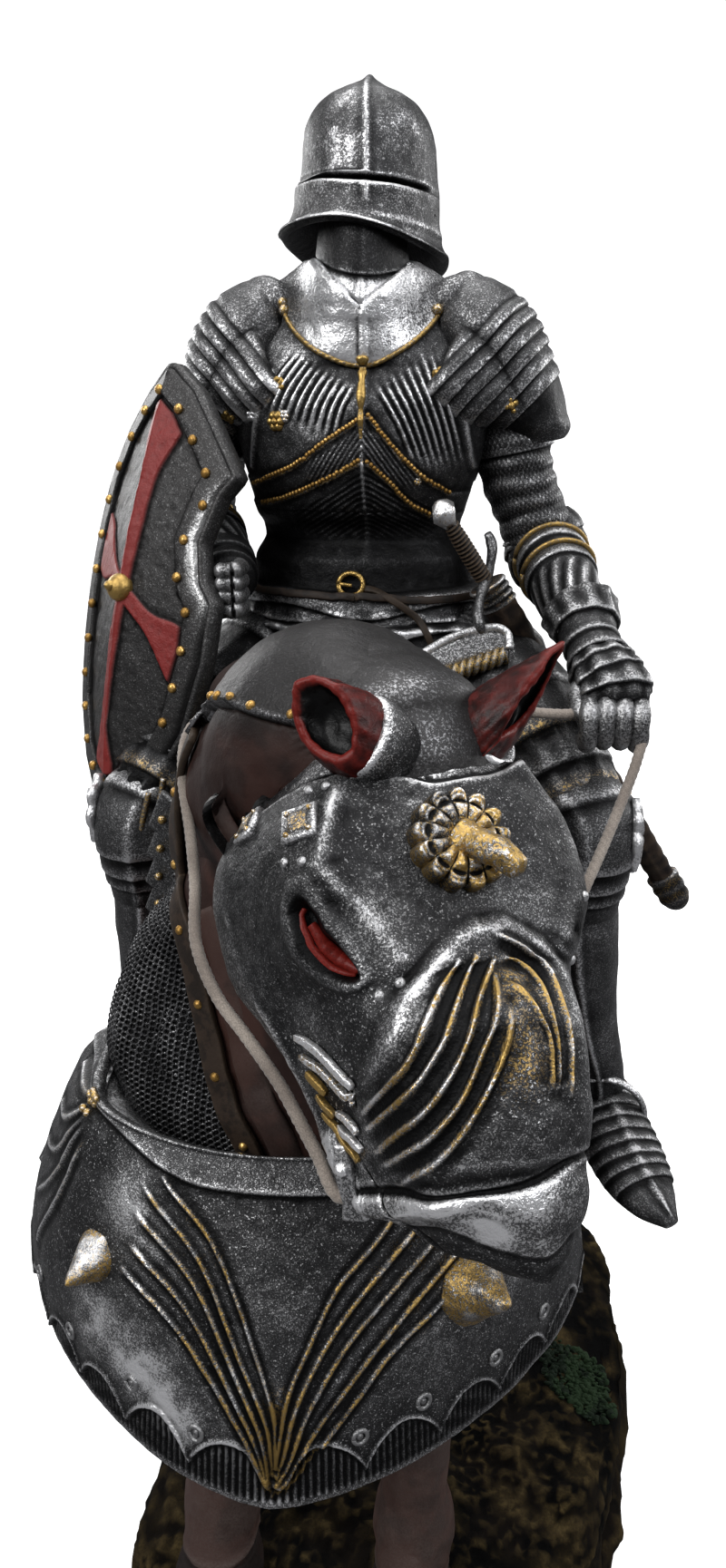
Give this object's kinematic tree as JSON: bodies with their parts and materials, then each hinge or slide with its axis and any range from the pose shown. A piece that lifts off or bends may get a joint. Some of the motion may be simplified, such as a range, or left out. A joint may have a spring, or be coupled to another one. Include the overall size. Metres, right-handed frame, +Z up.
{
  "type": "mounted knight figurine",
  "caption": "Cast figurine of a knight in full plate on an armoured horse, with shield, sheathed sword and string reins, standing on a rocky base.",
  "frame": {"origin": "on the flat underside of the rocky base, on the knight's own centre line", "axes": "+Z up; the horse and the knight face -Y; +X is the knight's left"},
  "size_m": [0.1312, 0.2258, 0.307],
  "materials": {
    "painted_rock": "cast resin painted dark brown and black, dry-brushed ochre, with green moss",
    "aged_pewter": "black metallic paint rubbed with silver on the edges, with gold trims",
    "polished_pewter": "dark silver metallic paint, brighter on the edges, with gold trims",
    "shield_paint": "speckled black and silver paint with a dull red cross",
    "scabbard_brown": "dark brown paint with gold fittings",
    "rein_string": "greyed cotton string"
  },
  "bodies": {
    "root": {"rock_base": "painted_rock", "horse": "aged_pewter", "knight": "polished_pewter", "shield": "shield_paint", "sword": "scabbard_brown", "rein_right_side": "rein_string", "rein_left_side": "rein_string"}
  },
  "joints": []
}
